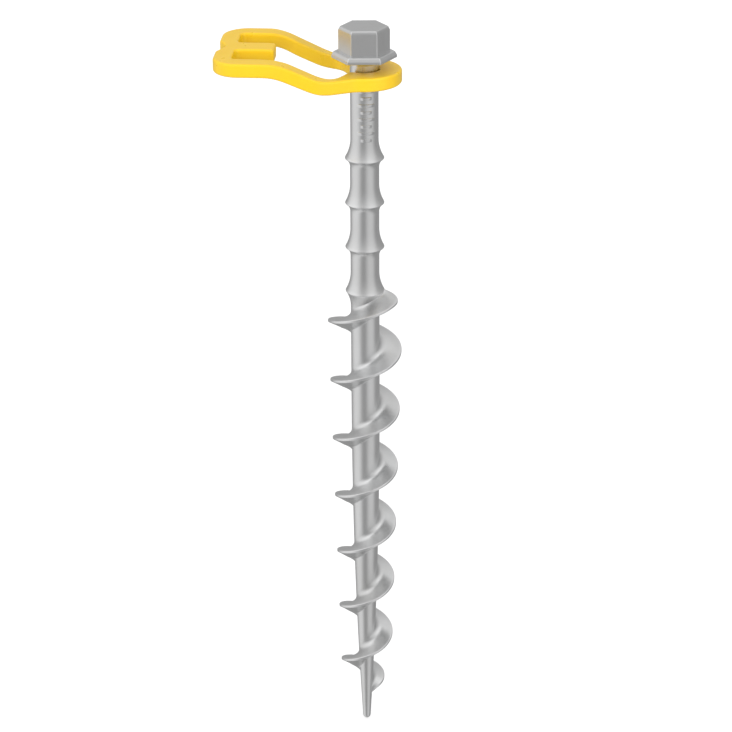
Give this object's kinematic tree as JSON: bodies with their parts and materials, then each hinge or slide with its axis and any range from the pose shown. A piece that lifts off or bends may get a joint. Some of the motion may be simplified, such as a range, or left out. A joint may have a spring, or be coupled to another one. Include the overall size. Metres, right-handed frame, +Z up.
{
  "type": "tent stake",
  "caption": "Screw-in tent stake: one-piece cast metal auger with hexagonal drive head, and a swivelling moulded hook with a tongue for guy lines round its neck.",
  "frame": {"origin": "tip of the screw, on the axis of the stake, where it enters the ground", "axes": "+Z up the axis of the stake towards its hexagonal head; -Y faces one flat of the hexagon; at rest the hook points 4 degrees from -X towards +Y"},
  "size_m": [0.0705, 0.0498, 0.3],
  "materials": {
    "cast_aluminium": "satin die cast",
    "yellow_plastic": "moulded, smooth"
  },
  "bodies": {
    "stake": {"stake": "cast_aluminium"},
    "hook": {"hook": "yellow_plastic"}
  },
  "joints": [
    {"name": "hook_swivel", "type": "hinge", "parent": "stake", "child": "hook", "pos_m": [0, 0, 0.28095], "axis": [0, 0, 1], "continuous": true}
  ]
}
